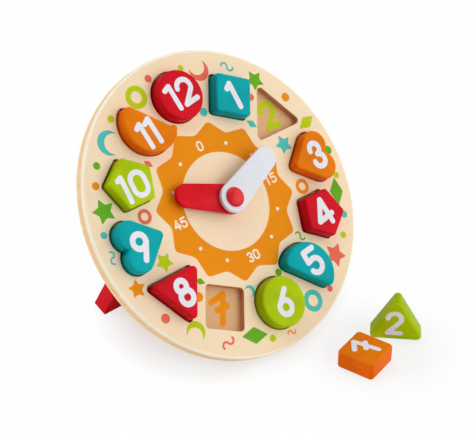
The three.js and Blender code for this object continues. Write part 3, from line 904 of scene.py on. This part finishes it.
# %% Peg with its domed cap, spacer, washer and ring behind
CAP_RADIUS, CAP_RISE, CAP_FROM = 9.3, 4.2, 15.1
PEG_RADIUS, PEG_END = 4, -15.9
bpy.ops.object.select_all(action="DESELECT")
bpy.ops.mesh.primitive_uv_sphere_add(
    segments=72, ring_count=36, radius=CAP_RADIUS * MM, location=mm(0, 0, CAP_FROM),
)
dome = bpy.context.object
dome.scale = (1, 1, CAP_RISE / CAP_RADIUS)
bpy.ops.object.transform_apply(location=True, rotation=True, scale=True)
edit(dome)
bpy.ops.mesh.bisect(
    plane_co=mm(0, 0, CAP_FROM), plane_no=(0, 0, 1), clear_inner=True, use_fill=True,
)
leave()
soften(dome, 0.5, 2, at_level(CAP_FROM))
shank = post(0, 0, PEG_RADIUS, PEG_END, CAP_FROM + 0.1, 48)
soften(shank, 0.6, 2, at_level(PEG_END))
peg = put(join([dome, shank]), ON_BOARD)
done(peg, "peg_and_cap", [cap_red], "board", ["hand_peg"])


def turned_ring(radius, low, high, rounding):
    piece = post(0, 0, radius, low, high, 72)
    cut_out(piece, post(0, 0, BORE_RADIUS, low - OVERCUT, high + OVERCUT, 48))
    soften_sharp(piece, rounding)
    return put(piece, ON_BOARD)


spacer = turned_ring(radius=8, low=0.3, high=4.3, rounding=0.4)
done(spacer, "spacer_ring", [birch_part], "board", ["hand_spacer"])
washer = turned_ring(radius=7.5, low=9.4, high=10.0, rounding=0.1)
done(washer, "washer_ring", [plastic], "board", ["hand_washer"])
retainer = turned_ring(radius=8, low=-15.3, high=-12.3, rounding=0.6)
done(retainer, "retainer_ring", [birch_part], "board", ["peg_retainer"])
print("peg, spacer, washer and retainer")

# %% [markdown]
# The stand is one thick plate: a cross rail with two splayed legs and an arch between them.
# The whole outline is wrapped round posts at its corners, and the arch is cut out with a
# second shape. The top edge is trimmed with slanting cuts so that it clears the board as
# it folds, and the feet are trimmed to the floor. Each end of the rail is bored for a pin,
# and then every edge is softened.

# %% Stand
STAND_LENGTH, STAND_HALF = 129.028, 7.5
STAND_CORNERS = ((93.01, -126.03, 3), (64.4, -16.1, 0.1))
RAIL_RISE = 30.2
ARCH_CORNERS = ((26.9, -26.0, 14), (50.9, -150, 10.5))
TOP_SLOPE = (14.145 - 7.361) / (4.25 + STAND_HALF)
TOP_CUTS = (((4.25, 7.361), (TOP_SLOPE, 1)), ((7.5, 4.0), (0.883, 0.47)),
            ((6.1, 5.9), (0.71, 0.70)))
FOOT_CUT = (-15, -1.7)
PIN_BORE_AT, PIN_BORE_LENGTH, STAND_ROUNDING = 51.5, 30, 1.2
HINGE_Y, HINGE_Z, STAND_TILT = 65.411, 123.812, 110


def posts_both_sides(corners, half, sides):
    return [post(side * x, y, radius, -half, half, sides)
            for side in (-1, 1) for x, y, radius in corners]


def trim(y, z, away_y, away_z):
    bpy.ops.mesh.select_all(action="SELECT")
    bpy.ops.mesh.bisect(
        plane_co=mm(0, y, z), plane_no=Vector((0, away_y, away_z)).normalized(),
        clear_outer=True, use_fill=True,
    )


def cross_pin(x, y, z, length):
    bpy.ops.object.select_all(action="DESELECT")
    bpy.ops.mesh.primitive_cylinder_add(
        vertices=48, radius=BORE_RADIUS * MM, depth=length * MM, rotation=(0, pi / 2, 0),
        location=mm(x, y, z),
    )
    bpy.ops.object.transform_apply(location=True, rotation=True, scale=True)
    return bpy.context.object


stand = wrap(posts_both_sides(STAND_CORNERS, STAND_HALF, 32))
edit(stand, "FACE")
pick(stand, "FACE", lambda face: face.normal.y > 0.99)
bpy.ops.mesh.extrude_region_move(TRANSFORM_OT_translate={"value": mm(0, RAIL_RISE, 0)})
leave()
cut_out(stand, wrap(posts_both_sides(ARCH_CORNERS, STAND_HALF + OVERCUT, 64)))
edit(stand)
for (z, y), (away_z, away_y) in TOP_CUTS:
    trim(y, z, away_y, away_z)
trim(-STAND_LENGTH, STAND_HALF, *FOOT_CUT)
leave()
for side in (-1, 1):
    cut_out(stand, cross_pin(side * PIN_BORE_AT, 0, 0, PIN_BORE_LENGTH))
soften_sharp(stand, STAND_ROUNDING, angle=34)
hinge_place = Matrix.Translation(mm(0, HINGE_Y, HINGE_Z))
put(stand, hinge_place @ Matrix.Rotation(radians(STAND_TILT), 4, "X"))
done(stand, "stand_plate", [stand_red], "stand", ["stand_frame"])
print("stand:", len(stand.data.polygons), "faces")

# %% [markdown]
# At the back, a wooden block each side holds a pin that the stand turns on, and two screws
# hold each block. The blocks are cubes with soft edges and a blind bore. The screws have a
# low domed head with a cross recess, modelled once and copied. The pins are kept from the
# CAD model, with a wood finish.

# %% Hinge blocks and pins
HOLDER_SIZE, HOLDER_ROUNDING = (18, 25, 17.5), 1.2
HOLDER_X, HOLDER_U, HOLDER_W = 74.3, 22.5, -21.05
BORE_X, BORE_U, BORE_W, BORE_LENGTH = 71.3, 24, -20.8, 14


def block_of(size, x, y, z, turn=0):
    bpy.ops.object.select_all(action="DESELECT")
    bpy.ops.mesh.primitive_cube_add(size=1, location=mm(x, y, z), rotation=(0, 0, radians(turn)))
    piece = bpy.context.object
    piece.scale = mm(*size)
    bpy.ops.object.transform_apply(location=True, rotation=True, scale=True)
    return piece


for name, side in (("left", -1), ("right", 1)):
    holder = block_of(HOLDER_SIZE, side * HOLDER_X, HOLDER_U, HOLDER_W)
    soften(holder, HOLDER_ROUNDING, 3, lambda edge: True)
    cut_out(holder, cross_pin(side * BORE_X, BORE_U, BORE_W, BORE_LENGTH))
    put(holder, ON_BOARD)
    node = f"hinge_block_{name}"
    done(holder, f"hinge_holder_{name}", [birch_part], "board", [node])
    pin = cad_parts[f"hinge_pin_{name}"]
    pin.data.materials.clear()
    pin.data.materials.append(birch_part)
print("two holders and two pins")

# %% Screws
HEAD_TOP, HEAD_FOOT, HEAD_RADIUS, HEAD_ROUNDING = -32.1, -30.1, 3.5, 1.5
SHANK_RADIUS, SHANK_END = 1.75, -3.2
CROSS_SLOT = (3.8, 0.8, 2)
SCREWS_X, SCREWS_U, DRIVEN_TURN = (-79.3, -69.3, 69.3, 79.3), 14.5, 23
head = post(0, 0, HEAD_RADIUS, HEAD_TOP, HEAD_FOOT, 40)
soften(head, HEAD_ROUNDING, 5, at_level(HEAD_TOP))
for turn in (0, 90):
    cut_out(head, block_of(CROSS_SLOT, 0, 0, HEAD_TOP, turn))
screw = join([head, post(0, 0, SHANK_RADIUS, HEAD_FOOT - 0.1, SHANK_END, 24)])
for i, x in enumerate(SCREWS_X, start=1):
    turn = Matrix.Rotation(radians(DRIVEN_TURN * i), 4, "Z")
    place = Matrix.Translation(mm(x, SCREWS_U, 0)) @ turn
    twin = put(copy_of(screw, "screw"), ON_BOARD @ place)
    done(twin, f"screw_{i}", [steel], "board", [f"hinge_screw_{i}"])
bpy.data.objects.remove(screw)
print("four screws")

# %% [markdown]
# The light is a plain studio with four broad lamps: one overhead, one in front, a key lamp
# on the right, and one behind on the left that brightens the board's rim and the foot. An
# even dim sky fills the shadows. The sky is plain white where the camera or a glossy surface
# sees it. The floor is a wide pale sheet that takes the object's soft shadow. Away from the
# board and the loose blocks the camera sees it as plain white, so it has no horizon.

# %% Floor
bpy.ops.object.select_all(action="DESELECT")
bpy.ops.mesh.primitive_plane_add(size=8, location=(0, 0, 0))
ground = bpy.context.object
ground.name = "studio_floor"
floor_finish, tree, shader = new_finish("studio_floor")
clouds = noise(tree, placed(tree), 2, detail=2)
tone = blend_colour(tree, clouds, shade(250, 250, 250), shade(252, 252, 252))
tree.links.new(tone, shader.inputs["Base Color"])
shader.inputs["Roughness"].default_value = 0.12
shader.inputs["Specular IOR Level"].default_value = 0.4
glow = add_node(tree, "ShaderNodeEmission", {"Color": (1, 1, 1, 1), "Strength": 1}).outputs[0]


def combine(tree, how, first, second):
    return add_node(tree, "ShaderNodeMath", {0: first, 1: second}, operation=how).outputs[0]


def whiter_away(centre, near, far, share_near):
    sockets = {0: placed(tree), 1: centre}
    gap = add_node(tree, "ShaderNodeVectorMath", sockets, operation="DISTANCE")
    return spread(tree, gap.outputs["Value"], near, far, share_near, 0.97)


by_board = whiter_away((0, 0.04, 0), near=0.08, far=0.125, share_near=0.5)
by_loose_blocks = whiter_away((0.058, -0.11, 0), near=0.04, far=0.08, share_near=0.7)
least = combine(tree, "MINIMUM", by_board, by_loose_blocks)
seen = add_node(tree, "ShaderNodeLightPath").outputs["Is Camera Ray"]
share = combine(tree, "MULTIPLY", seen, least)
mixed = add_node(tree, "ShaderNodeMixShader", {0: share, 1: shader.outputs[0], 2: glow}).outputs[0]
tree.links.new(mixed, tree.nodes["Material Output"].inputs["Surface"])
ground.data.materials.append(floor_finish)
print("floor is", ground.dimensions[:2], "metres wide")

# %% Lamps and sky
def soft_sun(name, toward, strength, width):
    facing = Vector(toward).to_track_quat("Z", "Y").to_euler()
    bpy.ops.object.light_add(type="SUN", rotation=facing)
    lamp = bpy.context.object
    lamp.name = name
    lamp.data.energy, lamp.data.angle = strength, radians(width)


soft_sun("overhead_lamp", (0, 0.3, 1), strength=1.2, width=70)
soft_sun("right_lamp", (0.7, -0.6, 0.4), strength=1.3, width=60)
soft_sun("front_lamp", (0.1, -0.95, 0.3), strength=1.05, width=60)
soft_sun("left_rear_lamp", (-0.85, 0.5, 0.2), strength=1.45, width=30)

world = bpy.data.worlds.new("studio")
bpy.context.scene.world = world
world.use_nodes = True
tree = world.node_tree
tree.nodes.clear()
path = add_node(tree, "ShaderNodeLightPath").outputs
seen = combine(tree, "MAXIMUM", path["Is Camera Ray"], path["Is Glossy Ray"])
seen = combine(tree, "MAXIMUM", seen, path["Is Transmission Ray"])
plain = {"Color": (1, 1, 1, 1)}
fill = add_node(tree, "ShaderNodeBackground", {**plain, "Strength": 0.1}).outputs[0]
white = add_node(tree, "ShaderNodeBackground", {**plain, "Strength": 1}).outputs[0]
mixed = add_node(tree, "ShaderNodeMixShader", {0: seen, 1: fill, 2: white}).outputs[0]
add_node(tree, "ShaderNodeOutputWorld", {"Surface": mixed})
bpy.context.scene.view_settings.view_transform = "Standard"
print("four lamps and the sky")
